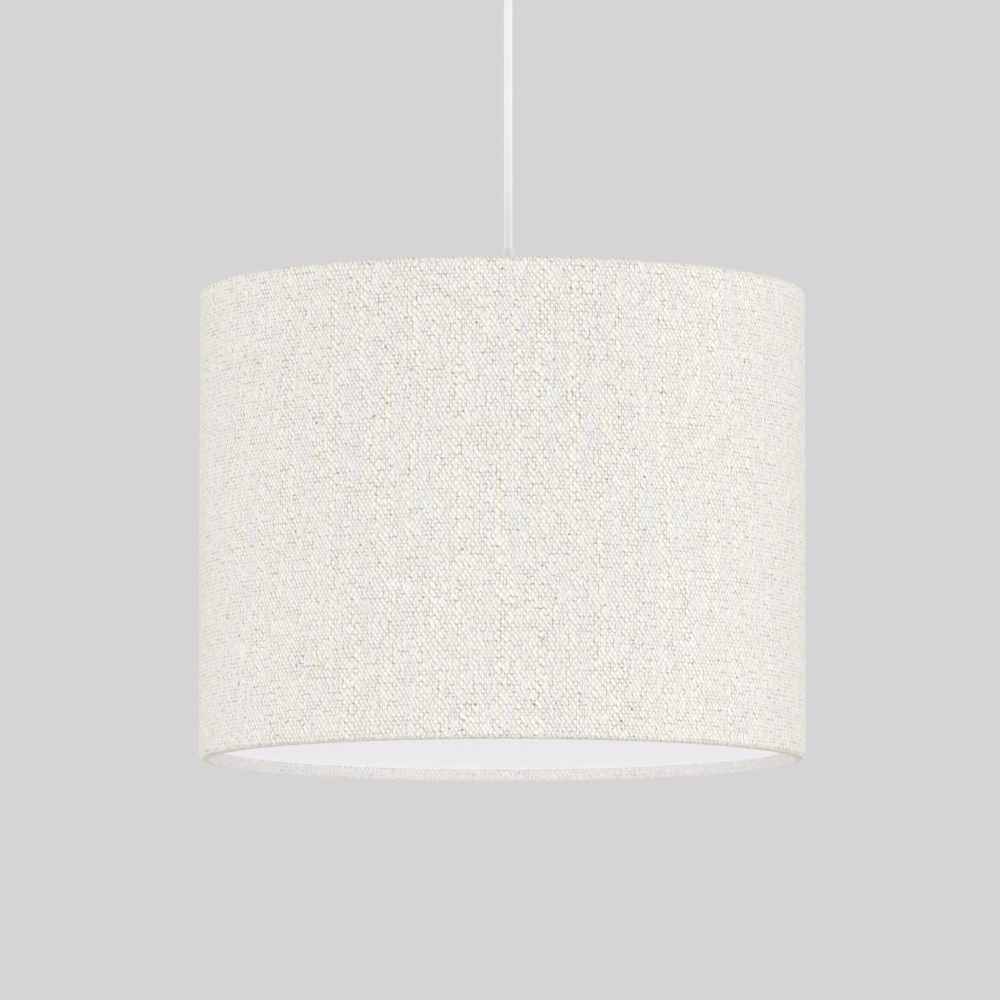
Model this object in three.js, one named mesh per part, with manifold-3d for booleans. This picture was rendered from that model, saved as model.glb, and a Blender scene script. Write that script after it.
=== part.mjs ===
// Pendant lamp shade: a linen-covered drum with rolled rims on two wire rings, a three-armed
// wire fitter, a drop-in opal diffuser, an E27 lampholder with its shade ring, a lamp, and the
// flex that hangs it all from a ceiling rose.
//
// Millimetres, +Z up. The origin is the centre of the rose's flat back, on the ceiling plane,
// so everything hangs below z = 0.
import * as THREE from 'three';
import { mergeVertices } from 'three/addons/utils/BufferGeometryUtils.js';
import Module from 'manifold-3d';

const wasm = await Module();
wasm.setup();

// ---- Driving dimensions ---------------------------------------------------------------

const GAP = 0.3;             // clearance kept between pieces that touch
const DRUM_FACETS = 60;      // sides of the large turned pieces
const SMALL_FACETS = 28;     // sides of the small turned pieces

const SHADE_RADIUS = 175;
const SHADE_HEIGHT = 272;
const SHADE_DROP = 216;      // ceiling to the shade's top rim
const FABRIC = 0.8;          // linen laminate
const LINER = 0.5;           // PVC backing
const RING_WIRE = 2.5;       // radius of the two ring wires
const TUCK = THREE.MathUtils.degToRad(235); // how far the linen is rolled round each wire
const DRUM_SHIFT = -3.3;     // the drum hangs this far off the flex's line, along X

const ARM_COUNT = 3;
const ARM_WIRE = 2;          // radius of a spider arm
const FITTER_BORE = 21;      // passes a 40 mm lampholder thread
const FITTER_RIM = 27;
const FITTER_THICK = 2;
const FITTER_RECESS = 19;    // top rim down to the lampholder's seat

const DIFFUSER_RADIUS = 172.6;
const DIFFUSER_THICK = 2;

const CORD_RADIUS = 2.5;
const SLEEVE_RADIUS = 3.2;
const SLEEVE_ABOVE_RIM = 25.4; // the sleeve's top stands this far above the shade's top rim

const SKIRT_RADIUS = 20;     // lampholder skirt, threaded for the shade ring
const SKIRT_LENGTH = 30;
const CAP_HEIGHT = 38;       // lampholder cap above the seat

const LAMP_RADIUS = 30;
const LAMP_LENGTH = 108;
const LAMP_DEPTH = 9;        // the lamp's contact sits this far below the seat

const ROSE_RADIUS = 41;
const ROSE_HEIGHT = 34;
const BALL_RADIUS = 9;       // swivel ball that the flex hangs from
const OUTLET_RADIUS = 7.5;   // hole in the rose that the ball sits on
const SCREW_SPACING = 51;    // between the rose's two ceiling screws

// ---- Levels worked out from them --------------------------------------------------------

const TOP = -SHADE_DROP;
const BOTTOM = TOP - SHADE_HEIGHT;
const SEAT = TOP - FITTER_RECESS;             // underside of the lampholder's flange
const FITTER_TOP = SEAT - GAP;
const ROLL_IN = RING_WIRE + GAP;              // inside radius of the rolled linen
const ROLL_OUT = ROLL_IN + FABRIC;
const WIRE_CIRCLE = SHADE_RADIUS - ROLL_OUT;  // radius that both ring wires run on
const BALL_Z = -ROSE_HEIGHT + Math.sqrt((BALL_RADIUS + GAP) ** 2 - OUTLET_RADIUS ** 2);
const LAMP_TOP = SEAT - LAMP_DEPTH;

// ---- Materials --------------------------------------------------------------------------

function material(color, roughness, metalness = 0) {
  return new THREE.MeshStandardMaterial({ color, roughness, metalness });
}

const LINEN = material(0xf0ede6, 0.95);
const WHITE_PVC = material(0xf6f6f8, 0.55);
const WHITE_STEEL = material(0xeeeeee, 0.4, 0.2);
const OPAL = material(0xf2f3f5, 0.35);
const WHITE_PLASTIC = material(0xf4f4f4, 0.4);
const FLEX = material(0xeceef2, 0.45);
const BRASS = material(0xc9a24a, 0.3, 1);
const NICKEL = material(0xc8c8c6, 0.3, 1);
const CERAMIC = material(0xe9e6dc, 0.6);
const BROWN = material(0x6b3f22, 0.5);
const BLUE = material(0x2a62b0, 0.5);

// ---- Geometry helpers -------------------------------------------------------------------

// Points are [radius, height]. A ring's profile is a loop clear of the axis.
function revolve(points, facets) {
  const profile = points.map(([r, z]) => new THREE.Vector2(r, z));
  return new THREE.LatheGeometry(profile, facets).rotateX(Math.PI / 2);
}

function ring(points, facets = SMALL_FACETS) {
  return revolve([...points, points[0]], facets);
}

// A solid that reaches the axis at both ends of its profile.
function turned(points, facets = SMALL_FACETS) {
  const first = [0, points[0][1]];
  const last = [0, points[points.length - 1][1]];
  return revolve([first, ...points, last], facets);
}

function arc(centre, radius, from, to, steps) {
  return Array.from({ length: steps + 1 }, (_, i) => {
    const angle = from + ((to - from) * i) / steps;
    return [centre[0] + radius * Math.cos(angle), centre[1] + radius * Math.sin(angle)];
  });
}

// A tube of the given radius along a curve, with closed ends.
function tube(curve, radius, steps, sides = 8) {
  const section = new THREE.Shape().absarc(0, 0, radius, 0, 2 * Math.PI);
  return new THREE.ExtrudeGeometry(section, {
    steps, curveSegments: sides / 2, bevelEnabled: false, extrudePath: curve,
  });
}

function box(size, centre) {
  return new THREE.BoxGeometry(...size).translate(...centre);
}

function cylinder(radius, low, high, x = 0, y = 0, facets = 16) {
  return new THREE.CylinderGeometry(radius, radius, high - low, facets)
    .rotateX(Math.PI / 2).translate(x, y, (low + high) / 2);
}

function solid(geometry) {
  const bare = geometry.clone();
  bare.deleteAttribute('normal');
  bare.deleteAttribute('uv');
  const merged = mergeVertices(bare, 1e-3);
  return new wasm.Manifold(new wasm.Mesh({
    numProp: 3,
    vertProperties: merged.attributes.position.array,
    triVerts: new Uint32Array(merged.index.array),
  }));
}

function geometryOf(manifold) {
  const mesh = manifold.getMesh();
  return new THREE.BufferGeometry()
    .setAttribute('position', new THREE.BufferAttribute(mesh.vertProperties, 3))
    .setIndex(new THREE.BufferAttribute(mesh.triVerts, 1));
}

function cut(geometry, ...tools) {
  return geometryOf(tools.reduce((body, tool) => body.subtract(solid(tool)), solid(geometry)));
}

function join(geometry, ...others) {
  return geometryOf(others.reduce((body, other) => body.add(solid(other)), solid(geometry)));
}

const part = new THREE.Group();

function add(name, geometry, look) {
  const mesh = new THREE.Mesh(geometry, look);
  mesh.name = name;
  part.add(mesh);
}

// ---- Shade: skin and rings --------------------------------------------------------------

function armAngle(i) {
  return Math.PI / 2 + (i * 2 * Math.PI) / ARM_COUNT;
}

// How far the top ring's wire is from the flex's line, in an arm's direction.
function armReach(angle) {
  const along = DRUM_SHIFT * Math.cos(angle);
  const across = DRUM_SHIFT * Math.sin(angle);
  return along + Math.sqrt(WIRE_CIRCLE ** 2 - across ** 2);
}

function shifted(geometry) {
  return geometry.translate(DRUM_SHIFT, 0, 0);
}

// A notch in the rolled linen that lets one arm out to the ring wire.
function armSlit(angle) {
  const width = 2 * (ARM_WIRE + GAP) + 0.4;
  const high = TOP - ROLL_OUT + ARM_WIRE + GAP;
  const low = TOP - 2 * ROLL_OUT - 1;
  return box(
    [2 * ROLL_OUT, width, high - low],
    [armReach(angle) - ROLL_OUT, 0, (high + low) / 2],
  ).rotateZ(angle);
}

// The linen runs up the outside and is rolled round both ring wires, with its raw edges
// tucked in above and below them.
function fabricCover() {
  const low = [WIRE_CIRCLE, BOTTOM + ROLL_OUT];
  const high = [WIRE_CIRCLE, TOP - ROLL_OUT];
  const steps = 6;
  const skin = ring([
    ...arc(low, ROLL_OUT, -TUCK, 0, steps),
    ...arc(high, ROLL_OUT, 0, TUCK, steps),
    ...arc(high, ROLL_IN, TUCK, 0, steps),
    ...arc(low, ROLL_IN, 0, -TUCK, steps),
  ], DRUM_FACETS);
  const slits = Array.from({ length: ARM_COUNT }, (_, i) => armSlit(armAngle(i)));
  return cut(shifted(skin), ...slits);
}

function liner() {
  const outer = SHADE_RADIUS - FABRIC - GAP;
  const clearOfWire = ROLL_OUT + 2;
  return shifted(ring([
    [outer - LINER, BOTTOM + clearOfWire],
    [outer, BOTTOM + clearOfWire],
    [outer, TOP - clearOfWire],
    [outer - LINER, TOP - clearOfWire],
  ], DRUM_FACETS));
}

function wireRing(z) {
  return shifted(new THREE.TorusGeometry(WIRE_CIRCLE, RING_WIRE, 8, DRUM_FACETS))
    .translate(0, 0, z);
}

// An arm leaves the top ring level, then drops to the recessed fitter ring near the middle.
function spiderArm(angle) {
  const level = TOP - ROLL_OUT;
  const seat = FITTER_TOP - FITTER_THICK / 2;
  const point = (r, z) => new THREE.Vector3(r, 0, z);
  const outerEnd = armReach(angle) - RING_WIRE - GAP;
  const innerEnd = FITTER_RIM + GAP;
  const bendFrom = 58;
  const bendTo = 34;
  const path = new THREE.CurvePath();
  path.add(new THREE.LineCurve3(point(outerEnd, level), point(bendFrom, level)));
  path.add(new THREE.CubicBezierCurve3(
    point(bendFrom, level), point(bendFrom - 12, level),
    point(bendTo + 8, seat), point(bendTo, seat),
  ));
  path.add(new THREE.LineCurve3(point(bendTo, seat), point(innerEnd, seat)));
  return tube(path, ARM_WIRE, 34).rotateZ(angle);
}

function fitterRing() {
  return ring([
    [FITTER_BORE, FITTER_TOP - FITTER_THICK],
    [FITTER_RIM, FITTER_TOP - FITTER_THICK],
    [FITTER_RIM, FITTER_TOP],
    [FITTER_BORE, FITTER_TOP],
  ]);
}

add('fabric_cover', fabricCover(), LINEN);
add('pvc_liner', liner(), WHITE_PVC);
add('top_ring', wireRing(TOP - ROLL_OUT), WHITE_STEEL);
add('bottom_ring', wireRing(BOTTOM + ROLL_OUT), WHITE_STEEL);
for (let i = 0; i < ARM_COUNT; i += 1) {
  add(`spider_arm_${i + 1}`, spiderArm(armAngle(i)), WHITE_STEEL);
}
add('fitter_ring', fitterRing(), WHITE_STEEL);

// ---- Diffuser: an opal disc dropped in on the bottom roll ---------------------------------

function diffuser() {
  const rest = BOTTOM + ROLL_OUT - ROLL_OUT * Math.sin(TUCK) + GAP;
  return shifted(turned([
    [DIFFUSER_RADIUS, rest],
    [DIFFUSER_RADIUS, rest + DIFFUSER_THICK],
  ], DRUM_FACETS));
}

add('diffuser', diffuser(), OPAL);

// ---- Lampholder ---------------------------------------------------------------------------

const FLANGE_RADIUS = 24;
const FLANGE_THICK = 3;
const NECK_RADIUS = 6.5;
const SOCKET_RADIUS = 15.6;   // bore that holds the screw shell
const FLOOR_LOW = SEAT - 2;
const FLOOR_HIGH = SEAT + 1;
const CAP_WALL = 2;
const CORD_END = SEAT + 17;

// Skirt, flange and terminal floor in one moulding. Two holes in the floor pass the cores.
function lampholderBody() {
  const body = ring([
    [SOCKET_RADIUS, SEAT - SKIRT_LENGTH],
    [SKIRT_RADIUS, SEAT - SKIRT_LENGTH],
    [SKIRT_RADIUS, SEAT],
    [FLANGE_RADIUS, SEAT],
    [FLANGE_RADIUS, SEAT + FLANGE_THICK],
    [19, SEAT + FLANGE_THICK],
    [19, SEAT + 10],
    [16.5, SEAT + 10],
    [16.5, FLOOR_HIGH],
    [SOCKET_RADIUS, FLOOR_HIGH],
  ]);
  const floor = cut(
    cylinder(17.5, FLOOR_LOW, FLOOR_HIGH, 0, 0, SMALL_FACETS),
    cylinder(1.8, FLOOR_LOW - 1, FLOOR_HIGH + 1, 8, 0, 10),
    cylinder(1.8, FLOOR_LOW - 1, FLOOR_HIGH + 1, -8, 0, 10),
  );
  return join(body, floor);
}

// The dome screws onto the body and narrows to the neck that the flex enters.
function lampholderCap() {
  const low = SEAT + FLANGE_THICK + GAP;
  const shoulder = SEAT + 16;
  const neckLow = SEAT + 32;
  const top = SEAT + CAP_HEIGHT;
  const outer = 22;
  const bore = CORD_RADIUS + GAP;
  return ring([
    [outer - CAP_WALL, low],
    [outer, low],
    [outer, shoulder],
    [20.6, SEAT + 22],
    [16, SEAT + 28],
    [NECK_RADIUS, neckLow],
    [NECK_RADIUS - 0.7, top],
    [bore, top],
    [bore, neckLow - 0.5],
    [NECK_RADIUS - CAP_WALL, neckLow - 3],
    [14.5, SEAT + 26],
    [18.6, SEAT + 21],
    [outer - CAP_WALL, shoulder],
  ]);
}

// A short sleeve stops the flex from chafing where it leaves the cap.
function cordSleeve() {
  const low = SEAT + CAP_HEIGHT + GAP;
  const high = TOP + SLEEVE_ABOVE_RIM;
  const bore = CORD_RADIUS + GAP;
  return ring([
    [bore, low],
    [SLEEVE_RADIUS + 0.3, low],
    [SLEEVE_RADIUS, high],
    [bore, high],
  ], 20);
}

function cordClamp() {
  const bore = CORD_RADIUS + GAP;
  const ringBody = ring([
    [bore, SEAT + 19],
    [6.4, SEAT + 19],
    [6.4, SEAT + 25],
    [bore, SEAT + 25],
  ], 20);
  return cut(ringBody, cylinder(1.3, 0, 12, 0, 0, 10)
    .rotateY(Math.PI / 2).translate(0, 0, SEAT + 22));
}

function clampScrew() {
  const z = SEAT + 22;
  const shank = cylinder(1, CORD_RADIUS + GAP, 7, 0, 0, 10);
  const head = cylinder(2, 6.8, 8.6, 0, 0, 12);
  return join(shank, head).rotateY(Math.PI / 2).translate(0, 0, z);
}

// Plated screw shell with the rolled E27 thread as rings.
function screwShell() {
  const crest = 14.6;
  const root = 14.1;
  const wall = 0.5;
  const low = SEAT - 27;
  const high = SEAT - 5;
  const turns = 5;
  const pitch = (high - low) / turns;
  const outside = [];
  for (let i = 0; i <= 2 * turns; i += 1) {
    outside.push([i % 2 ? crest : root, low + (i * pitch) / 2]);
  }
  const inside = outside.map(([r, z]) => [r - wall, z]).reverse();
  return ring([...outside, ...inside]);
}

function insulatorBlock() {
  const block = cylinder(SOCKET_RADIUS - GAP, SEAT - 4.7, FLOOR_LOW - GAP, 0, 0, SMALL_FACETS);
  const passage = (x) => cylinder(1.8, SEAT - 6, SEAT, x, 0, 10);
  return cut(block, passage(8), passage(-8));
}

// A brass tongue bent down from the insulator to press on the lamp.
function centreContact() {
  const width = 5;
  const thick = 0.5;
  const high = SEAT - 4.7 - GAP;
  const low = LAMP_TOP + GAP;
  const tongue = new THREE.Shape();
  tongue.moveTo(-6, high);
  tongue.lineTo(-6, high - thick);
  tongue.lineTo(-4, high - thick);
  tongue.lineTo(-1, low);
  tongue.lineTo(3, low);
  tongue.lineTo(3, low + thick);
  tongue.lineTo(-0.8, low + thick);
  tongue.lineTo(-3.8, high);
  return new THREE.ExtrudeGeometry(tongue, { depth: width, bevelEnabled: false })
    .rotateX(Math.PI / 2).translate(0, width / 2, 0);
}

function core(side) {
  const start = new THREE.Vector3(side * 1.2, 0, CORD_END - GAP);
  const end = new THREE.Vector3(side * 8, 0, FLOOR_LOW + 0.5);
  const path = new THREE.CubicBezierCurve3(
    start, start.clone().add(new THREE.Vector3(0, 0, -6)),
    end.clone().add(new THREE.Vector3(0, 0, 9)), end,
  );
  return tube(path, 0.9, 12, 6);
}

add('lampholder_body', lampholderBody(), WHITE_PLASTIC);
add('lampholder_cap', lampholderCap(), WHITE_PLASTIC);
add('cord_sleeve', cordSleeve(), WHITE_PLASTIC);
add('cord_clamp', cordClamp(), WHITE_PLASTIC);
add('clamp_screw', clampScrew(), BRASS);
add('screw_shell', screwShell(), NICKEL);
add('insulator_block', insulatorBlock(), CERAMIC);
add('centre_contact', centreContact(), BRASS);
add('core_brown', core(1), BROWN);
add('core_blue', core(-1), BLUE);

// Ring nut on the skirt. It clamps the fitter ring against the lampholder's flange.
function shadeRing() {
  const high = FITTER_TOP - FITTER_THICK - GAP;
  const height = 9;
  const outer = 27;
  const nut = ring([
    [SKIRT_RADIUS + 0.4, high - height],
    [outer - 1.5, high - height],
    [outer, high - 2],
    [outer, high],
    [SKIRT_RADIUS + 0.4, high],
  ]);
  const gripCount = 14;
  const grips = Array.from({ length: gripCount }, (_, i) => cylinder(
    1.4, high - height - 1, high - 2.5, outer + 0.2, 0, 8,
  ).rotateZ((i * 2 * Math.PI) / gripCount));
  return cut(nut, ...grips);
}

add('shade_ring', shadeRing(), WHITE_PLASTIC);

// ---- Lamp -----------------------------------------------------------------------------------

const LAMP_CAP_END = LAMP_TOP - 25;
const COLLAR_END = LAMP_TOP - 46;
const GLOBE_WALL = 1.6;

function lampContact() {
  return turned([[4.2, LAMP_TOP - 1.6], [4.2, LAMP_TOP - 0.8], [3, LAMP_TOP]], 16);
}

// Insulating cone and threaded shell of the E27 cap.
function lampCap() {
  const crest = 13.2;
  const root = 12.4;
  const threadTop = LAMP_TOP - 6;
  const pitch = 3.63;
  const thread = [];
  for (let i = 0; i <= 8; i += 1) {
    thread.push([i % 2 ? crest : root, threadTop - ((8 - i) * pitch) / 2]);
  }
  return turned([
    [crest, LAMP_CAP_END],
    ...thread,
    [4.4, LAMP_TOP - 1.6 - GAP],
  ]);
}

function lampCollar() {
  return turned([
    [26, COLLAR_END],
    [22, COLLAR_END + 9],
    [16, LAMP_CAP_END - 4],
    [14.4, LAMP_CAP_END - GAP],
  ]);
}

// A thin opal cup, open where it meets the collar.
function lampGlobe() {
  const centre = LAMP_TOP - LAMP_LENGTH + LAMP_RADIUS;
  const bottom = -Math.PI / 2;
  const mouth = 25.4;
  const inner = LAMP_RADIUS - GLOBE_WALL;
  const outside = arc([0, centre], LAMP_RADIUS, bottom, Math.acos(mouth / LAMP_RADIUS), 12);
  const inside = arc([0, centre], inner, Math.acos((mouth - GLOBE_WALL) / inner), bottom, 12);
  return revolve([
    [0, centre - LAMP_RADIUS],
    ...outside.slice(1),
    [mouth, COLLAR_END - GAP],
    [mouth - GLOBE_WALL, COLLAR_END - GAP],
    ...inside.slice(0, -1),
    [0, centre - inner],
  ], SMALL_FACETS);
}

add('lamp_contact', lampContact(), NICKEL);
add('lamp_cap', lampCap(), NICKEL);
add('lamp_collar', lampCollar(), WHITE_PLASTIC);
add('lamp_globe', lampGlobe(), OPAL);

// ---- Flex and ceiling rose ------------------------------------------------------------------

const BASE_THICK = 5;
const ROSE_WALL = 2;
const BASE_RADIUS = ROSE_RADIUS - ROSE_WALL - 3 * GAP; // the cover tapers as it comes down
const COVER_SCREW_Z = -2.7;
const COVER_SCREW_END = 35;   // the cover screws' inner ends, from the axis
const BLOCK_Y = -20;          // terminal block's offset from the flex
const STOP_LOW = BALL_Z + BALL_RADIUS + GAP;
const STOP_HIGH = STOP_LOW + 6;

function cord() {
  const path = new THREE.LineCurve3(
    new THREE.Vector3(0, 0, CORD_END), new THREE.Vector3(0, 0, STOP_HIGH + 1),
  );
  return tube(path, CORD_RADIUS, 16);
}

// A grip clamped to the flex above the ball carries the weight.
function cordStop() {
  const bore = CORD_RADIUS + GAP;
  return ring([[bore, STOP_LOW], [6, STOP_LOW], [6, STOP_HIGH], [bore, STOP_HIGH]], 20);
}

// The ball's bore widens to both ends, so the flex can lean either way in it.
function swivelBall() {
  const mouth = 5;
  const waist = CORD_RADIUS + 2 * GAP;
  const lip = Math.acos(mouth / BALL_RADIUS);
  const outside = arc([0, BALL_Z], BALL_RADIUS, -lip, lip, 8);
  return ring([...outside, [waist, BALL_Z + 1], [waist, BALL_Z - 1]], 24);
}

function roseBase() {
  const screwHole = (x) => cylinder(2.3, -BASE_THICK - 1, 1, x, 0, 12);
  const cableEntry = cylinder(6, -BASE_THICK - 1, 1, 0, 22, 16);
  const disc = cylinder(BASE_RADIUS, -BASE_THICK, 0, 0, 0, 36);
  const threads = sideways(1.4, COVER_SCREW_END - 0.7, BASE_RADIUS + 1);
  return cut(
    disc, screwHole(SCREW_SPACING / 2), screwHole(-SCREW_SPACING / 2), cableEntry, ...threads,
  );
}

// A pair of cylinders along X, one on each side of the rose, at the cover screws' level.
function sideways(radius, from, to) {
  const one = cylinder(radius, from, to, 0, 0, 12).rotateY(Math.PI / 2)
    .translate(0, 0, COVER_SCREW_Z);
  return [one, one.clone().rotateZ(Math.PI)];
}

function roseCover() {
  const high = -0.5;
  const shoulder = -12;
  const shell = ring([
    [OUTLET_RADIUS + GAP, -ROSE_HEIGHT],
    [12, -ROSE_HEIGHT],
    [13.5, -30.5],
    [22, -27.5],
    [34, -21],
    [ROSE_RADIUS - 1, shoulder],
    [ROSE_RADIUS, high],
    [ROSE_RADIUS - ROSE_WALL, high],
    [ROSE_RADIUS - ROSE_WALL - 1, shoulder + 0.5],
    [32, -19],
    [20.5, BALL_Z + 2.6],
    [BALL_RADIUS + 2 * GAP, BALL_Z],
    [OUTLET_RADIUS + GAP, -ROSE_HEIGHT + 0.6],
  ], 36);
  return cut(shell, ...sideways(1.4, BASE_RADIUS - 1, ROSE_RADIUS + 2));
}

function coverScrews() {
  const shanks = sideways(1.1, COVER_SCREW_END, ROSE_RADIUS + 0.6);
  const heads = sideways(2.4, ROSE_RADIUS + 0.4, ROSE_RADIUS + 1.8);
  return shanks.map((shank, i) => join(shank, heads[i]));
}

// A core leaves the flex inside the rose and loops over towards the terminal block.
function roseCore(side) {
  const start = new THREE.Vector3(side * 1.2, 0, STOP_HIGH + 1 + GAP);
  const end = new THREE.Vector3(side * 5, BLOCK_Y + 9.5, -10);
  const path = new THREE.CubicBezierCurve3(
    start, start.clone().add(new THREE.Vector3(0, 0, 4)),
    end.clone().add(new THREE.Vector3(0, 5, 2)), end,
  );
  return tube(path, 0.9, 12, 6);
}

function terminalBlock() {
  return box([30, 9, 9], [0, BLOCK_Y, -BASE_THICK - GAP - 4.5]);
}

function terminalScrew(x) {
  const top = -BASE_THICK - GAP - 9 - GAP;
  return cylinder(1.8, top - 1.6, top, x, BLOCK_Y, 12);
}

add('cord', cord(), FLEX);
add('cord_stop', cordStop(), WHITE_PLASTIC);
add('swivel_ball', swivelBall(), WHITE_PLASTIC);
add('rose_base', roseBase(), WHITE_PLASTIC);
add('rose_cover', roseCover(), WHITE_PLASTIC);
coverScrews().forEach((screw, i) => add(`cover_screw_${i + 1}`, screw, NICKEL));
add('rose_core_brown', roseCore(1), BROWN);
add('rose_core_blue', roseCore(-1), BLUE);
add('terminal_block', terminalBlock(), WHITE_PLASTIC);
[-9, 0, 9].forEach((x, i) => add(`terminal_screw_${i + 1}`, terminalScrew(x), BRASS));

export default part;
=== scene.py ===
import math

import bpy
import numpy as np
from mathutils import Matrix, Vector


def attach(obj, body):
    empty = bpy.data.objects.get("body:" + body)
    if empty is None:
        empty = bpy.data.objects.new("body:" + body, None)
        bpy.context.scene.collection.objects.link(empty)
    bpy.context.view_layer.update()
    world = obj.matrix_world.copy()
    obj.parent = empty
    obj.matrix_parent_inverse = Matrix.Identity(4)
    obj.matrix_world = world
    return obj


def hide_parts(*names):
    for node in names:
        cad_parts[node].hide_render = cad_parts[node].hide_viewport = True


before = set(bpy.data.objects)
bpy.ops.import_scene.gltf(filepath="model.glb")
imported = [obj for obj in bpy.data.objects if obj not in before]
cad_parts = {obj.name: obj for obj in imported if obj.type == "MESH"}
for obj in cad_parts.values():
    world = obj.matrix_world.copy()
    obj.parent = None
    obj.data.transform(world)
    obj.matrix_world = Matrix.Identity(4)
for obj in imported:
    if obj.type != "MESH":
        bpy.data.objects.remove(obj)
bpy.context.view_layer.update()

TAU = 2 * math.pi
MM = 0.001

# ---- Dimensions taken over from part.mjs, in millimetres --------------------------------

SHADE_RADIUS = 175.0
TOP = -216.0
BOTTOM = TOP - 272.0
RING_WIRE = 2.5  # radius of the rings' wire
FABRIC = 0.8
ROLL_OUT = RING_WIRE + 0.3 + FABRIC  # radius of the linen rolled round a ring
ROLL_LOW = 4.2  # the lower hem is rolled more loosely than the CAD's
WIRE_CIRCLE = SHADE_RADIUS - ROLL_OUT
TUCK = math.radians(235)  # how far round a ring the linen goes
LAP = 11.0  # one end of the linen over the other
DRUM_X = -3.3  # the drum hangs a little to one side of the flex
ARM_ANGLES = [math.pi / 2 + i * TAU / 3 for i in range(3)]
SEAT = TOP - 19.0  # underside of the lampholder's flange
FITTER_TOP = SEAT - 0.3
FITTER_THICK = 2.0
LAMP_TOP = SEAT - 9.0
BALL_RADIUS = 9.0
BALL_Z = -34 + math.sqrt(9.3 ** 2 - 7.5 ** 2)
CAP_TOP = SEAT + 38
CORD_ENDS = (SEAT + 17, BALL_Z + 9.3 + 7)
CORD_RADIUS = 2.5

# ---- Camera -----------------------------------------------------------------------------

camera = bpy.data.objects.new("camera", bpy.data.cameras.new("camera"))
bpy.context.collection.objects.link(camera)
camera.location = (-0.0047, -5.775, -0.9052)
camera.rotation_euler = (math.radians(90 + 5.62), 0, 0)
camera.data.lens = 361.5
camera.data.sensor_width = 36
camera.data.clip_end = 60
bpy.context.scene.camera = camera

# ---- Node helpers -----------------------------------------------------------------------


class Look:
    """A material with short calls for the nodes it is built from."""

    def __init__(self, name, roughness=0.5, metallic=0.0, **sockets):
        self.material = bpy.data.materials.new(name)
        self.material.use_nodes = True
        self.tree = self.material.node_tree
        self.shader = self.tree.nodes["Principled BSDF"]
        self.shader.inputs["Roughness"].default_value = roughness
        self.shader.inputs["Metallic"].default_value = metallic
        for socket, value in sockets.items():
            self.shader.inputs[socket.replace("_", " ")].default_value = value

    def node(self, kind, **settings):
        made = self.tree.nodes.new("ShaderNode" + kind)
        for key, value in settings.items():
            setattr(made, key, value)
        return made

    def put(self, socket, value):
        """Link a socket to another's output, or set it to a number or colour."""
        if isinstance(value, bpy.types.NodeSocket):
            self.tree.links.new(value, socket)
        else:
            socket.default_value = value

    def math(self, operation, *values):
        made = self.node("Math", operation=operation)
        for socket, value in zip(made.inputs, values):
            self.put(socket, value)
        return made.outputs[0]

    def add(self, a, b):
        return self.math("ADD", a, b)

    def sub(self, a, b):
        return self.math("SUBTRACT", a, b)

    def mul(self, a, b):
        return self.math("MULTIPLY", a, b)

    def vector(self, x=0.0, y=0.0, z=0.0):
        made = self.node("CombineXYZ")
        for socket, value in zip(made.inputs, (x, y, z)):
            self.put(socket, value)
        return made.outputs[0]

    def split(self, vector):
        made = self.node("SeparateXYZ")
        self.put(made.inputs[0], vector)
        return made.outputs

    def channels(self, colour):
        made = self.node("SeparateColor")
        self.put(made.inputs[0], colour)
        return made.outputs

    def noise(self, vector, scale=1.0, detail=2.0):
        made = self.node("TexNoise")
        self.put(made.inputs["Vector"], vector)
        made.inputs["Scale"].default_value = scale
        made.inputs["Detail"].default_value = detail
        return made.outputs["Fac"]

    def ramp(self, value, low, high, to_low=0.0, to_high=1.0):
        """value from low to high made into to_low to to_high, with soft ends."""
        made = self.node("MapRange", interpolation_type="SMOOTHSTEP")
        for socket, number in zip(made.inputs, (value, low, high, to_low, to_high)):
            self.put(socket, number)
        return made.outputs[0]

    def mix(self, factor, a, b, blend="MIX"):
        made = self.node("Mix", data_type="RGBA", blend_type=blend)
        sockets = [s for s in made.inputs if s.type == "RGBA"]
        self.put(made.inputs["Factor"], factor)
        for socket, value in zip(sockets, (a, b)):
            self.put(socket, value)
        return [s for s in made.outputs if s.type == "RGBA"][0]

    def place(self):
        return self.node("TexCoord").outputs["Object"]

    def colour(self, value):
        self.put(self.shader.inputs["Base Color"], value)

    def rough(self, value):
        self.put(self.shader.inputs["Roughness"], value)

    def bump(self, height, distance, strength):
        made = self.node("Bump")
        made.inputs["Strength"].default_value = strength
        made.inputs["Distance"].default_value = distance
        self.put(made.inputs["Height"], height)
        self.put(self.shader.inputs["Normal"], made.outputs["Normal"])


def rgb(r, g, b):
    return (r, g, b, 1.0)


# ---- Linen: a plain weave of slubbed yarns, drawn from each point's place in the cloth ---
# u runs round the drum and v up it, both in millimetres along the cloth.

YARN = 1.45  # spacing of the warp yarns
PICK = 2.17  # spacing of the weft yarns
CROWDING = 6.4  # how far the warp yarns wander sideways
WANDER = 3.0  # how far the weft yarns wander up and down
WARP_WIDE = (0.255, 0.36)  # half a warp yarn's width where thin and thick, in double spacings
WARP_TALL = 0.365  # half the length of its float
WARP_LEAN = 0.09
WEFT_WIDE = 0.37
WEFT_TALL = (0.21, 0.32)
JITTER = (0.14, 0.12)  # how far each crossing is off its place, across and along

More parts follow.
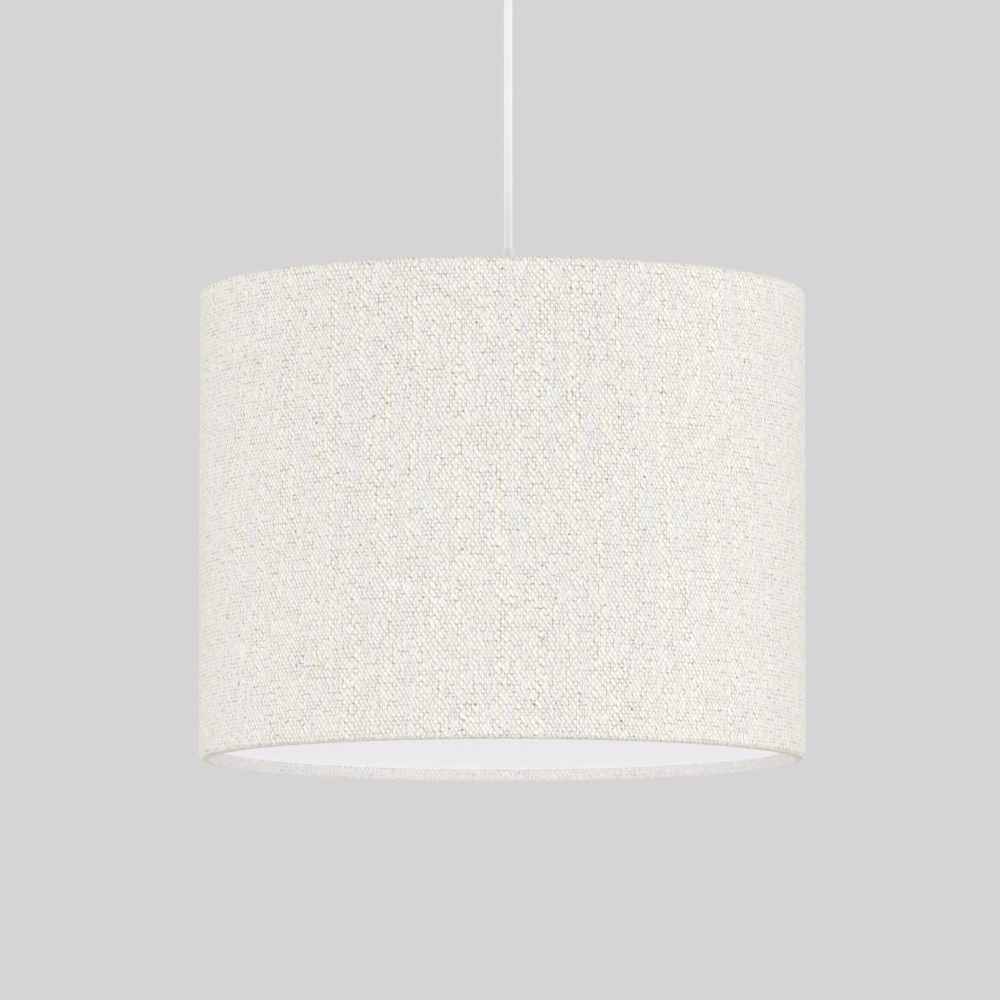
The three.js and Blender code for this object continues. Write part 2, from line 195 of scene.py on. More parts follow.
LINEN_COOL, LINEN_WARM = rgb(0.963, 0.959, 0.932), rgb(0.986, 0.964, 0.893)
# The gap colours are painted shade: the shadow that falls between the yarns.
GAP_SHADE_COOL, GAP_SHADE_WARM = rgb(0.34, 0.345, 0.35), rgb(0.38, 0.35, 0.29)
WEFT_STREAK, WARP_STREAK = rgb(0.965, 0.915, 0.785), rgb(0.965, 0.925, 0.80)
DULL_YARN = rgb(0.70, 0.67, 0.60)
BARK_LIGHT, BARK_DARK = rgb(0.30, 0.23, 0.15), rgb(0.12, 0.09, 0.06)
# The tucked colour is painted light and the fold colour is painted shade.
TUCKED_PAINTED_LIGHT = rgb(0.99, 0.98, 0.955)
FOLD_PAINTED_SHADE = rgb(0.905, 0.865, 0.79)


def linen_look():
    k = Look("linen", roughness=0.92, Sheen_Weight=0.1, Sheen_Roughness=0.5)
    k.shader.inputs["Specular IOR Level"].default_value = 0.2
    place = k.split(k.node("Attribute", attribute_name="cloth").outputs["Vector"])
    u, v = place[0], place[1]

    # Slubs: the yarns crowd together in some places and swell in others.
    def crowd(shift):
        across = k.math("MULTIPLY_ADD", u, 1 / 11, shift)
        return k.noise(k.vector(across, k.mul(v, 1 / 110)), detail=0.9)

    here = crowd(0.0)
    swell = k.sub(here, crowd(0.09))
    lift = k.noise(k.vector(k.mul(u, 1 / 130), k.mul(v, 1 / 9), 7.0), detail=1.2)
    cu = k.mul(k.math("MULTIPLY_ADD", here, CROWDING, u), 0.5 / YARN)
    cv = k.mul(k.math("MULTIPLY_ADD", lift, WANDER, v), 0.5 / PICK)

    # Each yarn's own thickness along its length.
    column = k.math("FLOOR", k.mul(cu, 2.0))
    row = k.math("FLOOR", k.mul(cv, 2.0))
    warp_slub = k.noise(k.vector(k.mul(column, 5.3), k.mul(v, 1 / 12)), detail=1.0)
    weft_slub = k.noise(k.vector(k.mul(u, 1 / 16), k.mul(row, 5.3), 11.0), detail=1.0)

    def crossings(du, dv, wide, tall, lean=0.0):
        """Height of a yarn where it comes over the other, and a random tone for each place.

        That is at every second crossing both ways, so cells are two spacings wide and
        tall, and (du, dv) shifts them by half a cell to the other crossings.
        """
        su, sv = k.add(cu, du), k.add(cv, dv)
        i, j = k.math("FLOOR", su), k.math("FLOOR", sv)
        random = k.node("TexWhiteNoise", noise_dimensions="3D")
        k.put(random.inputs["Vector"], k.vector(i, j, du + 2 * dv + 0.37))
        chance = k.channels(random.outputs["Color"])
        off_x, off_y = (k.mul(k.sub(chance[n], 0.5), JITTER[n]) for n in (0, 1))
        across = k.add(k.sub(k.sub(su, i), 0.5), off_x)
        along = k.add(k.sub(k.sub(sv, j), 0.5), off_y)
        across = k.math("MULTIPLY_ADD", along, lean, across)
        size = k.ramp(chance[2], 0.0, 1.0, 0.96, 1.08)
        x = k.math("DIVIDE", across, k.mul(wide, size))
        y = k.math("DIVIDE", along, k.mul(tall, size))
        dome = k.sub(1.0, k.add(k.mul(x, x), k.mul(y, y)))
        return k.math("MAXIMUM", dome, 0.0), chance[0]

    warp_wide = k.ramp(warp_slub, 0.25, 0.75, *WARP_WIDE)
    weft_tall = k.ramp(weft_slub, 0.25, 0.75, *WEFT_TALL)
    a, a_tone = crossings(0.0, 0.0, warp_wide, WARP_TALL, WARP_LEAN)
    b, b_tone = crossings(0.5, 0.5, warp_wide, WARP_TALL, WARP_LEAN)
    c, _ = crossings(0.5, 0.0, WEFT_WIDE, weft_tall)
    d, _ = crossings(0.0, 0.5, WEFT_WIDE, weft_tall)
    warp, weft = k.math("MAXIMUM", a, b), k.math("MAXIMUM", c, d)
    warp_tone = k.mix(k.math("GREATER_THAN", a, b), b_tone, a_tone)
    height = k.math("MAXIMUM", warp, k.mul(weft, 0.6))

    # Colour: creamy where the yarns swell, cooler and finer where they crowd.
    thick = k.mul(k.sub(warp_slub, 0.5), 0.10)
    warmth = k.ramp(k.add(swell, thick), -0.07, 0.07)
    patch = k.noise(k.vector(k.mul(u, 1 / 17), k.mul(v, 1 / 60), 19.0), detail=2.0)
    warmth = k.ramp(k.math("MULTIPLY_ADD", patch, 0.9, k.mul(warmth, 0.75)), 0.45, 1.20)
    body = k.mix(warmth, LINEN_COOL, LINEN_WARM)
    streak = k.noise(k.vector(k.mul(u, 1 / 26), k.mul(row, 3.7), 5.0), detail=1.0)
    body = k.mix(k.ramp(streak, 0.53, 0.68, 0.0, 0.55), body, WEFT_STREAK)
    rise = k.noise(k.vector(k.mul(column, 3.7), k.mul(v, 1 / 34), 23.0), detail=1.0)
    body = k.mix(k.ramp(rise, 0.54, 0.70, 0.0, 0.45), body, WARP_STREAK)
    body = k.mix(k.mul(warp_tone, 0.22), body, DULL_YARN)
    # Painted shade: the gaps between the yarns get a dark colour for the shadow in them.
    gap_shade = k.mix(warmth, GAP_SHADE_COOL, GAP_SHADE_WARM)
    under = k.mix(k.ramp(weft, 0.0, 0.5, 0.0, 0.70), gap_shade, body)
    base = k.mix(k.ramp(warp, 0.0, 0.42), under, body)

    # Specks of bark left in the flax, one here and there, on the yarns.
    cell = k.node("TexVoronoi", feature="F1")
    k.put(cell.inputs["Vector"], k.vector(k.mul(u, 1 / 7.5), k.mul(v, 1 / 6.5), 2.0))
    cell.inputs["Scale"].default_value = 1.0
    pick = k.channels(cell.outputs["Color"])
    size = k.ramp(pick[0], 0.30, 1.0, 0.0, 0.10)
    speck = k.math("LESS_THAN", cell.outputs["Distance"], size)
    bark = k.mix(pick[1], BARK_LIGHT, BARK_DARK)
    base = k.mix(k.mul(speck, 0.85), base, bark)
    # The part tucked inside, kept clean and white.
    # Painted light: the part tucked inside is whitened so that it looks as brightly lit as the
    # front.
    tucked_light = k.ramp(v, 11.4, 9.4)
    base = k.mix(k.mul(tucked_light, 0.5), base, TUCKED_PAINTED_LIGHT)
    # Painted shade: the fold under the rim is made darker and warmer, as the roll's underside
    # lies in shade.
    fold_shade = k.mul(k.ramp(v, 9.4, 11.2), k.ramp(v, 14.8, 12.4))
    base = k.mix(fold_shade, base, FOLD_PAINTED_SHADE, blend="MULTIPLY")
    k.colour(base)
    fibre = k.noise(k.vector(k.mul(u, 4.0), k.mul(v, 4.0), 0.0), detail=2.0)
    k.bump(k.math("MULTIPLY_ADD", fibre, 0.12, k.math("SQRT", height)), 0.30 * MM, 0.5)
    return k.material


# ---- The other finishes -----------------------------------------------------------------


def plain_look(name, colour, roughness, speckle=0.03, grain=900.0, depth=0.02, **sockets):
    """A moulded or painted finish: slight tone and gloss changes and a fine skin."""
    k = Look(name, roughness=roughness, **sockets)
    place = k.place()
    broad = k.noise(place, 28.0, detail=4.0)
    fine = k.noise(place, grain, detail=2.0)
    dark = tuple(c * (1 - 2.2 * speckle) for c in colour)
    k.colour(k.mix(k.ramp(broad, 0.3, 0.7), rgb(*dark), rgb(*colour)))
    worn = k.add(k.mul(broad, 0.6), k.mul(fine, 0.4))
    k.rough(k.ramp(worn, 0.3, 0.7, roughness * 0.85, roughness * 1.15))
    k.bump(fine, depth * MM, 0.6)
    return k.material


def metal_look(name, colour, roughness):
    """Plated or turned metal with fine scratches round the axis."""
    k = Look(name, roughness=roughness, metallic=1.0)
    place = k.place()
    lines = k.noise(k.vector(0.0, 0.0, k.mul(k.split(place)[2], 2400.0)), detail=3.0)
    stain = k.noise(place, 60.0, detail=4.0)
    dull = [c * 0.72 for c in colour]
    k.colour(k.mix(k.ramp(stain, 0.35, 0.8, 0.0, 0.4), rgb(*colour), rgb(*dull)))
    worn = k.add(k.mul(lines, 0.5), k.mul(stain, 0.5))
    k.rough(k.ramp(worn, 0.3, 0.7, roughness * 0.7, roughness * 1.4))
    k.bump(lines, 0.01 * MM, 0.5)
    return k.material


LINEN = linen_look()
PVC = plain_look("white_pvc", (0.90, 0.90, 0.90), 0.5, 0.02, 300.0, 0.05)
STEEL = plain_look(
    "powder_coat", (0.86, 0.86, 0.85), 0.38, 0.02, 1400.0, 0.03, Coat_Weight=0.1,
)
# Painted light: the faint glow is an emission that stands in for light falling into the open
# top and coming through the sheet.
OPAL_PAINTED_GLOW = plain_look(
    "opal_acrylic", (0.80, 0.80, 0.825), 0.32, 0.006, 700.0, 0.004, Coat_Weight=0.1,
    Emission_Color=rgb(0.90, 0.90, 0.95), Emission_Strength=0.255,
)
PLASTIC = plain_look("white_plastic", (0.84, 0.84, 0.83), 0.36, 0.015, 1600.0, 0.02)
FLEX = plain_look("flex_sheath", (0.955, 0.965, 0.985), 0.42, 0.02, 1200.0, 0.02)
BRASS = metal_look("brass", (0.80, 0.58, 0.25), 0.3)
NICKEL = metal_look("nickel", (0.72, 0.71, 0.69), 0.25)
CERAMIC = plain_look("steatite", (0.80, 0.78, 0.72), 0.6, 0.05, 1100.0, 0.05)
BROWN = plain_look("brown_core", (0.14, 0.055, 0.02), 0.45)
BLUE = plain_look("blue_core", (0.03, 0.12, 0.42), 0.45)
GLASS = plain_look(
    "opal_glass", (0.92, 0.92, 0.92), 0.2, 0.01, 900.0, 0.004, Coat_Weight=0.3,
)

# ---- Mesh helpers -----------------------------------------------------------------------


def mesh_piece(name, points, faces, look, body, node):
    """A smooth piece from points in metres, which stands for one CAD node."""
    mesh = bpy.data.meshes.new(name)
    mesh.from_pydata([tuple(p) for p in points], [], faces)
    mesh.update()
    mesh.polygons.foreach_set("use_smooth", [True] * len(mesh.polygons))
    piece = bpy.data.objects.new(name, mesh)
    bpy.context.collection.objects.link(piece)
    mesh.materials.append(look)
    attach(piece, body)
    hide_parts(node)
    return piece


def fillet(points, radius, steps=4):
    """The closed loop of points with each corner rounded.

    A point is (x, y), or (x, y, r) where its corner has a radius of its own.
    """
    out = []
    count = len(points)
    for n, corner in enumerate(points):
        c = np.array(corner[:2], float)
        a = np.array(points[n - 1][:2], float) - c
        b = np.array(points[(n + 1) % count][:2], float) - c
        la, lb = np.linalg.norm(a), np.linalg.norm(b)
        want = corner[2] if len(corner) > 2 else radius
        half = math.acos(max(-1, min(1, float(a @ b / (la * lb))))) / 2
        straight = half >= 1.55
        cut = 0 if straight else min(want / math.tan(half), 0.48 * la, 0.48 * lb)
        if cut <= 0:
            out.append(tuple(c))
            continue
        p, q = c + a / la * cut, c + b / lb * cut
        for t in np.linspace(0, 1, steps + 1):
            out.append(tuple((1 - t) ** 2 * p + 2 * t * (1 - t) * c + t * t * q))
    return out


def turned(name, loop, look, body, node, sides=96, centre=(0.0, 0.0)):
    """A body of revolution from a closed loop of (radius, height) in mm.

    Points at radius 0 meet on the axis.
    """
    points, rows = [], []
    x, y = centre
    for r, z in loop:
        if r < 1e-6:
            rows.append([len(points)] * sides)
            points.append((x * MM, y * MM, z * MM))
            continue
        rows.append(list(range(len(points), len(points) + sides)))
        for s in range(sides):
            t = TAU * s / sides
            points.append(((x + r * math.cos(t)) * MM, (y + r * math.sin(t)) * MM, z * MM))
    faces = []
    for n, row in enumerate(rows):
        after = rows[(n + 1) % len(rows)]
        for s in range(sides):
            e = (s + 1) % sides
            face = [row[s], row[e], after[e], after[s]]
            face = [p for q, p in enumerate(face) if p not in face[:q]]
            if len(face) > 2:
                faces.append(face)
    return mesh_piece(name, points, faces, look, body, node)


def swept(name, path, radii, look, body, node, sides):
    """A round tube along points in mm, with a radius for each point and flat ends."""
    path = [Vector(p) for p in path]
    points, faces = [], []
    side = None
    for n, p in enumerate(path):
        ahead = (path[min(n + 1, len(path) - 1)] - path[max(n - 1, 0)]).normalized()
        if side is None:
            side = ahead.orthogonal().normalized()
        side = (side - ahead * side.dot(ahead)).normalized()
        up = ahead.cross(side)
        for s in range(sides):
            t = TAU * s / sides
            points.append((p + (side * math.cos(t) + up * math.sin(t)) * radii[n]) * MM)
    for n in range(len(path) - 1):
        low, high = n * sides, (n + 1) * sides
        for s in range(sides):
            e = (s + 1) % sides
            faces.append([low + s, low + e, high + e, high + s])
    faces.append(list(range(sides))[::-1])
    last = (len(path) - 1) * sides
    faces.append([last + s for s in range(sides)])
    return mesh_piece(name, points, faces, look, body, node)


def bezier(a, b, c, d, steps):
    a, b, c, d = (Vector(p) for p in (a, b, c, d))
    out = []
    for n in range(steps + 1):
        t = n / steps
        s = 1 - t
        out.append(a * s ** 3 + b * 3 * s * s * t + c * 3 * s * t * t + d * t ** 3)
    return out


def pull_in(piece, factor):
    """Scale each vertex towards the axis by factor(radius, height, angle), in mm."""
    for vert in piece.data.vertices:
        x, y, z = (c / MM for c in vert.co)
        scale = factor(math.hypot(x, y), z, math.atan2(y, x))
        vert.co = (vert.co.x * scale, vert.co.y * scale, vert.co.z)


# ---- Flex -------------------------------------------------------------------------------

FLEX_SPANS = 23

line = bpy.data.curves.new("flex", "CURVE")
line.dimensions = "3D"
spline = line.splines.new("POLY")
spline.points.add(FLEX_SPANS)
for n, point in enumerate(spline.points):
    z = CORD_ENDS[0] + (CORD_ENDS[1] - CORD_ENDS[0]) * n / FLEX_SPANS
    point.co = (0, 0, z * MM, 1)
line.bevel_depth = CORD_RADIUS * MM
line.bevel_resolution = 6
line.use_fill_caps = True
line.materials.append(FLEX)
flex = bpy.data.objects.new("flex", line)
bpy.context.collection.objects.link(flex)
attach(flex, "pendant")
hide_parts("cord")

# ---- Linen cover ------------------------------------------------------------------------

SEAM = math.radians(172)  # where the linen starts and ends
ROLL_STEPS = 26
WALL_STEPS = 118
COLUMNS = 560
LAP_RISE = FABRIC + 0.12  # how far the upper layer stands out at the lap
UNEVEN = 0.10  # how far the laminated cloth is from a true drum, in mm
LOOSER_AT_SIDES = 0.24
SLIT = 2.9  # half the width of the slit for an arm
SLIT_ROW = 13  # the roll's row that a slit starts from


def roll_profile():
    """The linen's outer face, from the tucked-in edge below to the one above.

    Each row is a radius and height in mm, the outward r and z, and the length along.
    """
    out = []
    low = (SHADE_RADIUS - ROLL_LOW, BOTTOM + ROLL_LOW)
    high = (WIRE_CIRCLE, TOP - ROLL_OUT)

    def rolled(centre, radius, t):
        c, s = math.cos(t), math.sin(t)
        out.append((centre[0] + radius * c, centre[1] + radius * s, c, s))

    for n in range(ROLL_STEPS):
        rolled(low, ROLL_LOW, -TUCK + TUCK * n / ROLL_STEPS)
    for n in range(WALL_STEPS + 1):
        out.append((SHADE_RADIUS, low[1] + (high[1] - low[1]) * n / WALL_STEPS, 1.0, 0.0))
    for n in range(1, ROLL_STEPS + 1):
        rolled(high, ROLL_OUT, TUCK * n / ROLL_STEPS)
    out = np.array(out)
    steps = np.hypot(*np.diff(out[:, :2], axis=0).T)
    return np.column_stack([out, np.concatenate([[0], np.cumsum(steps)])])


def arm_reach(angle):
    """Distance from the flex's line to the ring's wire, the way that an arm points."""
    along = DRUM_X * math.cos(angle)
    across = DRUM_X * math.sin(angle)
    return along + math.sqrt(WIRE_CIRCLE ** 2 - across ** 2)


def in_slit(r, world):
    """Whether the tucked edge above, at this place, would run into an arm."""
    for arm in ARM_ANGLES:
        c, s = math.cos(arm), math.sin(arm)
        x = DRUM_X + r * math.cos(world) - arm_reach(arm) * c
        y = r * math.sin(world) - arm_reach(arm) * s
        near = x * c + y * s > -30 and math.cos(world - arm) > 0.9
        if near and abs(-x * s + y * c) < SLIT:
            return True
    return False


def soft_unevenness(rng, angles, height):
    """Slight waves of the laminated cloth, smooth round the drum and up it."""
    rows = len(height)
    turns = np.arange(3, 40)
    phase = rng.uniform(0, TAU, (len(turns), 4))
    weight = rng.normal(0, 1, (len(turns), 4)) / turns[:, None] ** 0.7
    uneven = np.zeros((rows, len(angles)))
    for n, turn in enumerate(turns):
        for m in range(4):
            wave = np.cos(turn * angles + phase[n, m])
            uneven += weight[n, m] * np.outer(np.cos(math.pi * m * height), wave)
    uneven *= UNEVEN / uneven.std()
    wall = (np.arange(rows) - ROLL_STEPS) / (rows - 2 * ROLL_STEPS - 1)
    return uneven * np.sqrt(np.sin(np.clip(wall, 0, 1) * math.pi))[:, None]


def linen_cover():
    rng = np.random.default_rng(11)
    profile = roll_profile()
    rows = len(profile)
    first_high = rows - ROLL_STEPS - 1  # the last row of the wall
    lap = LAP / SHADE_RADIUS
    # The sheet starts and ends at one side, where one end lies over the other.
    angles = np.linspace(-lap / 2, TAU + lap / 2, COLUMNS + 1)
    over = np.clip((angles - (TAU - lap * 1.6)) / (lap * 0.9), 0, 1)
    over = over * over * (3 - 2 * over) * LAP_RISE
    uneven = soft_unevenness(rng, angles, profile[:, 4] / profile[-1, 4])
    # Round the rims the cloth bunches slightly in short gathers.
    gather = 0.05 * np.cos(angles * 210 + 2.2 * np.sin(angles * 17))
    gather += 0.05 * np.cos(angles * 333 + 1.5 * np.sin(angles * 23))
    points, cloth = [], []
    for row in range(rows):
        in_low_roll, in_high_roll = row < ROLL_STEPS, row > first_high
        # The lap is pressed flat where it goes round the lower hem.
        flat = min(max((row - 22) / 14, 0.15), 1.0)
        for col, angle in enumerate(angles):
            r, z, out_r, out_z, along = profile[row]
            world = angle + SEAM
            if row <= ROLL_STEPS:
                loose = 1 + LOOSER_AT_SIDES * math.cos(world) ** 4
                r, z = SHADE_RADIUS - loose * (SHADE_RADIUS - r), BOTTOM + loose * (z - BOTTOM)
            if row > first_high + SLIT_ROW and in_slit(r, world):
                # The tucked edge stops short where an arm comes through.
                r, z, out_r, out_z, along = profile[first_high + SLIT_ROW]
            push = over[col] * flat + uneven[row, col]
            if in_low_roll or in_high_roll:
                push += gather[col]
            r, z = r + out_r * push, z + out_z * push
            x, y = DRUM_X + r * math.cos(world), r * math.sin(world)
            points.append((x * MM, y * MM, z * MM))
            cloth.append((angle * SHADE_RADIUS, along, 0.0))
    faces = []
    width = COLUMNS + 1
    for row in range(rows - 1):
        for col in range(COLUMNS):
            a = row * width + col
            faces.append([a, a + 1, a + width + 1, a + width])
    piece = mesh_piece("linen_cover", points, faces, LINEN, "shade", "fabric_cover")
    attribute = piece.data.attributes.new("cloth", "FLOAT_VECTOR", "POINT")
    attribute.data.foreach_set("vector", np.array(cloth, np.float32).ravel())
    thick = piece.modifiers.new("thickness", "SOLIDIFY")
    thick.thickness = FABRIC * 0.9 * MM
    thick.offset = -1
    return piece


cover = linen_cover()

# ---- Liner, frame and diffuser ----------------------------------------------------------

DRUM = (DRUM_X, 0.0)
DRUM_SIDES = 240
LINER_OUT = SHADE_RADIUS - FABRIC - 0.3
LINER_IN = LINER_OUT - 0.5
LINER_ENDS = (BOTTOM + 5.6, TOP - 5.6)
turned(
    "liner",
    [
        (LINER_IN, LINER_ENDS[0]), (LINER_OUT, LINER_ENDS[0]),
        (LINER_OUT, LINER_ENDS[1]), (LINER_IN, LINER_ENDS[1]),
    ],
    PVC, "shade", "pvc_liner", DRUM_SIDES, DRUM,
)


def wire_ring(name, level, node, sides=14):
    loop = []
    for n in range(sides):
        t = TAU * n / sides
        loop.append((WIRE_CIRCLE + RING_WIRE * math.cos(t), level + RING_WIRE * math.sin(t)))
    turned(name, loop, STEEL, "shade", node, DRUM_SIDES, DRUM)


wire_ring("ring_wire_top", TOP - ROLL_OUT, "top_ring")
wire_ring("ring_wire_bottom", BOTTOM + ROLL_OUT, "bottom_ring")

ARM_WIRE = 2.0  # radius


def spider_arm(number, angle):
    level = TOP - ROLL_OUT
    seat = FITTER_TOP - FITTER_THICK / 2
    c, s = math.cos(angle), math.sin(angle)
    outer = arm_reach(angle) - RING_WIRE + 0.1
    bend = 58  # the arm turns down from here to the fitter ring

    def at(r, z):
        return (r * c, r * s, z)

    path = [at(outer - (outer - bend) * t, level) for t in np.linspace(0, 1, 10)]
    path += bezier(at(bend, level), at(46, level), at(42, seat), at(34, seat), 22)[1:]
    path += [at(r, seat) for r in (32, 30, 28.6, 27.4)]
    radii = [ARM_WIRE] * len(path)
    # A bead of weld under the paint at each end.
    radii[0] = 2.7
    radii[-3:] = [2.1, 2.35, 2.5]
    swept(
        f"arm_{number}", path, radii, STEEL, "shade", f"spider_arm_{number}", 18,
    )


for number, angle in enumerate(ARM_ANGLES, 1):
    spider_arm(number, angle)
turned(
    "fitter",
    fillet([
        (21, FITTER_TOP - FITTER_THICK), (27, FITTER_TOP - FITTER_THICK),
        (27, FITTER_TOP), (21, FITTER_TOP),
    ], 0.6),
    STEEL, "shade", "fitter_ring",
)

# The diffuser rests on the rolled linen's tucked edge.
DIFFUSER_RADIUS = 172.6
DIFFUSER_LOW = BOTTOM + ROLL_OUT - ROLL_OUT * math.sin(TUCK) + 0.3
DIFFUSER_HIGH = DIFFUSER_LOW + 2.0
turned(
    "diffuser_disc",
    fillet([
        (0, DIFFUSER_HIGH, 0), (0, DIFFUSER_LOW, 0),
        (DIFFUSER_RADIUS, DIFFUSER_LOW), (DIFFUSER_RADIUS, DIFFUSER_HIGH),
    ], 0.7),
    OPAL_PAINTED_GLOW, "diffuser", "diffuser", DRUM_SIDES, DRUM,
)

# ---- Lampholder -------------------------------------------------------------------------

# The skirt carries a rolled thread for the shade ring.
SKIRT_TURNS = 19
SKIRT_PITCH = 1.35
skirt = [(15.6, SEAT - 30), (19.0, SEAT - 30)]
for n in range(SKIRT_TURNS):
    z = SEAT - 29 + n * SKIRT_PITCH
    skirt += [(19.25, z), (19.9, z + 0.45), (19.9, z + 0.8)]
skirt += [
    (19.2, SEAT - 2.2), (19.2, SEAT), (24, SEAT), (24.0, SEAT + 3), (19.0, SEAT + 3),
    (19, SEAT + 10), (16.5, SEAT + 10), (16.5, SEAT + 1), (15.6, SEAT + 1),
]
turned(
    "holder_body", fillet(skirt, 0.3, 2),
    PLASTIC, "pendant", "lampholder_body",
)


def holder_cap():
    loop = fillet([
        (20, SEAT + 3.3, 0.3), (22, SEAT + 3.3, 0.6), (22, SEAT + 16, 5),
        (19.6, SEAT + 24, 6), (6.6, SEAT + 31.5, 3), (6.0, CAP_TOP, 0.8),
        (2.75, CAP_TOP, 0.3), (2.75, SEAT + 31, 0.3), (4.5, SEAT + 29, 1),
        (15, SEAT + 25, 2), (20, SEAT + 15, 2),
    ], 0.5, 6)
    piece = turned(
        "holder_cap", loop, PLASTIC, "cap", "lampholder_cap", 144,
    )
    low, high = SEAT + 3.5, SEAT + 15

    def flutes(r, z, angle):
        """Shallow grip flutes round the lower half, fading out at both ends."""
        if r <= 20.8 or not low < z < high:
            return 1
        flute = 0.5 - 0.5 * math.cos(36 * angle)
        fade = min(1.0, (z - low) / 2) * min(1.0, (high - z) / 2)
        return 1 - 0.018 * flute * fade

    pull_in(piece, flutes)


holder_cap()
SLEEVE_ENDS = (CAP_TOP + 0.2, TOP + 25.4)
sleeve = turned(
    "flex_sleeve",
    fillet([
        (2.55, SLEEVE_ENDS[0], 0.1), (3.4, SLEEVE_ENDS[0], 0.3),
        (3.05, SLEEVE_ENDS[1], 0.3), (2.55, SLEEVE_ENDS[1], 0.1),
    ], 0.2),
    PLASTIC, "cap", "cord_sleeve", 48,
)


def shade_nut():
    high = FITTER_TOP - FITTER_THICK - 0.3
    loop = fillet([
        (20.4, high - 9, 0.3), (25.5, high - 9, 0.8), (27, high - 2.4, 0.5),
        (27, high, 0.5), (20.4, high, 0.3),
    ], 0.5, 4)
    piece = turned(
        "shade_nut", loop, PLASTIC, "shade_ring", "shade_ring", 168,
    )

    def grips(r, z, angle):
        """Finger grips round the outside, below the flat rim."""
        if r <= 24 or z >= high - 2.5:
            return 1
        return 1 - 0.035 * max(0.0, math.cos(14 * angle)) ** 2

    pull_in(piece, grips)


shade_nut()

# ---- Lamp -------------------------------------------------------------------------------

GLOBE = 30.0  # radius
GLOBE_IN = 28.4
GLOBE_Z = LAMP_TOP - 78
MOUTH = 25.4
MOUTH_IN = MOUTH - 1.6


def globe_arc(radius, mouth):
    """A sphere's outline from the bottom up to its mouth."""
    turns = np.linspace(-math.pi / 2, math.acos(mouth / radius), 34)[1:]
    return [(radius * math.cos(t), GLOBE_Z + radius * math.sin(t)) for t in turns]


bulb = [(0.0, GLOBE_Z - GLOBE), *globe_arc(GLOBE, MOUTH)]
bulb += [(MOUTH, LAMP_TOP - 46.3), (MOUTH_IN, LAMP_TOP - 46.3)]
bulb += [*globe_arc(GLOBE_IN, MOUTH_IN)[::-1], (0.0, GLOBE_Z - GLOBE_IN)]
turned("bulb", bulb, GLASS, "lamp", "lamp_globe")
turned("bulb_collar", fillet([
    (0, LAMP_TOP - 46, 0), (26, LAMP_TOP - 46, 0.6), (22, LAMP_TOP - 37, 8),
    (16, LAMP_TOP - 29, 4), (14.4, LAMP_TOP - 25.3, 0.5), (0, LAMP_TOP - 25.3, 0),
], 0.5, 6), PLASTIC, "lamp", "lamp_collar")
cap_thread = []
for t in np.linspace(0, 1, 25):
    cap_thread.append((12.8 - 0.4 * math.cos(TAU * t * 4.5), LAMP_TOP - 22 + 16 * t))
turned("bulb_cap", [
    (0, LAMP_TOP - 25), (13.0, LAMP_TOP - 25), (13.1, LAMP_TOP - 23), *cap_thread,
    (11, LAMP_TOP - 4.5), (4.4, LAMP_TOP - 1.9), (0, LAMP_TOP - 1.9),
], NICKEL, "lamp", "lamp_cap")

# ---- Ceiling rose -----------------------------------------------------------------------

turned("rose_shell", fillet([
    (7.8, -34, 0.3), (12, -34, 1.0), (13.5, -30.5, 2.5), (22, -27.5, 8), (34, -21, 10),
    (40, -12, 8), (41, -0.5, 0.4), (39, -0.5, 0.3), (38, -11.5, 6), (32, -19, 8),
    (20.5, BALL_Z + 2.6, 4), (9.6, BALL_Z, 0.5), (7.8, -33.4, 0.2),
], 0.5, 6), PLASTIC, "rose", "rose_cover", 144)
ball = [
    (BALL_RADIUS * math.cos(t), BALL_Z + BALL_RADIUS * math.sin(t))
    for t in np.linspace(-0.98, 0.98, 25)
]
turned(
    "rose_ball", [*ball, (3.1, BALL_Z + 1), (3.1, BALL_Z - 1)],
    PLASTIC, "ball", "swivel_ball", 64,
)

# ---- The CAD nodes that stay, with their finishes ---------------------------------------

KEPT = {
    "lamp_contact": NICKEL, "cord_clamp": PLASTIC, "clamp_screw": BRASS,
    "screw_shell": NICKEL, "insulator_block": CERAMIC, "centre_contact": BRASS,
    "core_brown": BROWN, "core_blue": BLUE, "cord_stop": PLASTIC, "rose_base": PLASTIC,
    "cover_screw_1": NICKEL, "cover_screw_2": NICKEL, "rose_core_brown": BROWN,
    "rose_core_blue": BLUE, "terminal_block": PLASTIC, "terminal_screw_1": BRASS,
    "terminal_screw_2": BRASS, "terminal_screw_3": BRASS,
}
for name, look in KEPT.items():
    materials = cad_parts[name].data.materials
    materials.clear()
    materials.append(look)
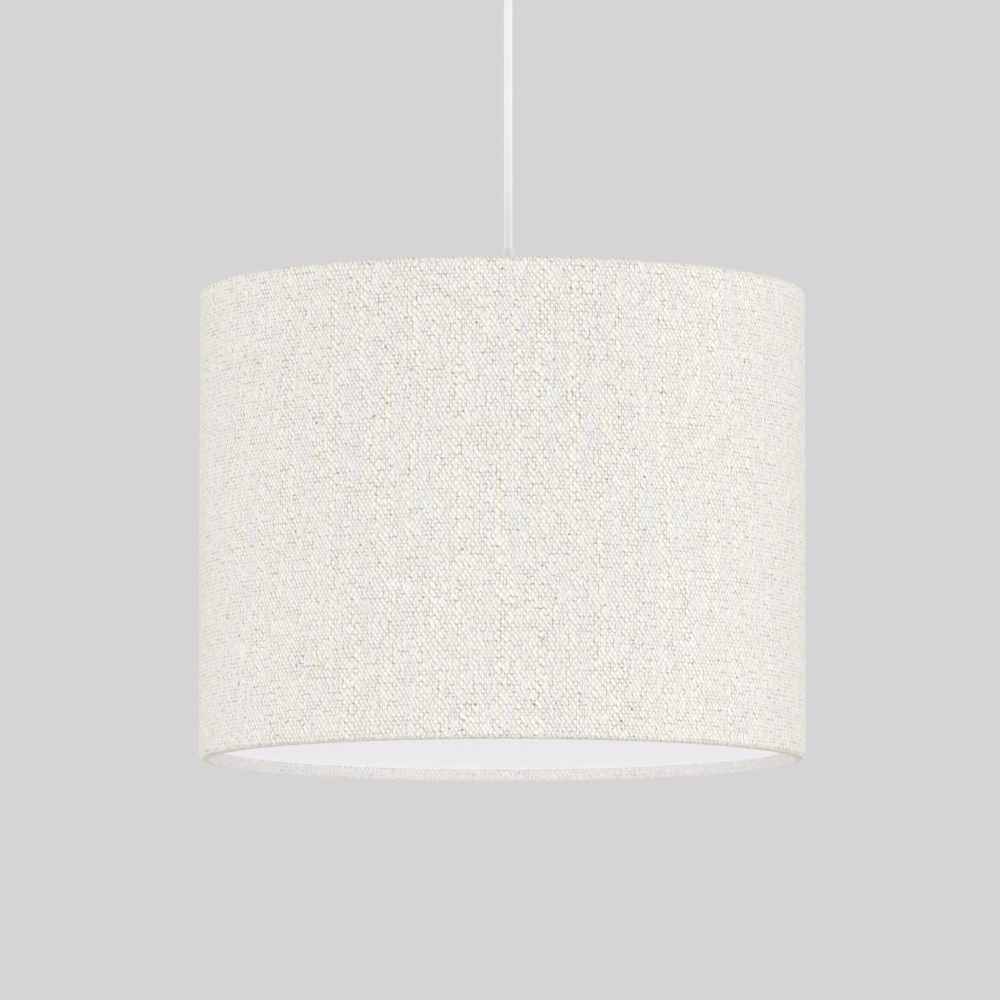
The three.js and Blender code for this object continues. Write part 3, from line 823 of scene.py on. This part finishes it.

# ---- The linen's length along its profile, from one tucked edge to the other ------------

sheet_height = roll_profile()[-1, 4]

# ---- Floor, world and lights, in metres -------------------------------------------------

FLOOR_Z = -2.6
FLOOR_RADIUS = 22

floor_look = plain_look("floor_paint", (0.86, 0.855, 0.86), 0.8, 0.004, 40.0, 0.1)
floor_mesh = bpy.data.meshes.new("floor")
edge = [
    (FLOOR_RADIUS * math.cos(TAU * n / 64), FLOOR_RADIUS * math.sin(TAU * n / 64), FLOOR_Z)
    for n in range(64)
]
floor_mesh.from_pydata(edge, [], [list(range(64))])
floor = bpy.data.objects.new("floor", floor_mesh)
bpy.context.collection.objects.link(floor)
floor_mesh.materials.append(floor_look)

world = bpy.data.worlds.new("studio")
bpy.context.scene.world = world
world.use_nodes = True
backdrop = world.node_tree.nodes["Background"]
backdrop.inputs["Color"].default_value = rgb(0.672, 0.660, 0.664)
backdrop.inputs["Strength"].default_value = 1.0


def softbox(name, place, aim, size, power):
    lamp = bpy.data.lights.new(name, "AREA")
    lamp.shape = "DISK"
    lamp.size = size
    lamp.energy = power
    light = bpy.data.objects.new(name, lamp)
    bpy.context.collection.objects.link(light)
    light.location = place
    toward = Vector(aim) - Vector(place)
    light.rotation_euler = toward.to_track_quat("-Z", "Y").to_euler()
    light.visible_camera = False


MIDDLE = (0, 0, -0.35)
REACH = 2.9  # from the drum to the softboxes round it
# Name, azimuth from the camera in degrees, height, size and power in watts.
ROUND_THE_DRUM = [
    ("left", -75, 0.2, 1.8, 18.5),
    ("right", 55, 0.3, 1.8, 18.5),
    ("front", -8, 0.6, 1.6, 0.5),
    ("rim_left", -112, 0.1, 1.4, 3.5),
    ("rim_right", 108, 0.1, 1.4, 8.0),
    ("back", 175, 0.7, 2.0, 12.5),
]
for name, azimuth, height, size, power in ROUND_THE_DRUM:
    t = math.radians(azimuth)
    softbox(name, (REACH * math.sin(t), -REACH * math.cos(t), height), MIDDLE, size, power)
softbox("low_front", (0.0, -2.7, -1.25), (0, 0, -0.48), 1.2, 14.0)

bpy.context.scene.view_settings.view_transform = "Standard"
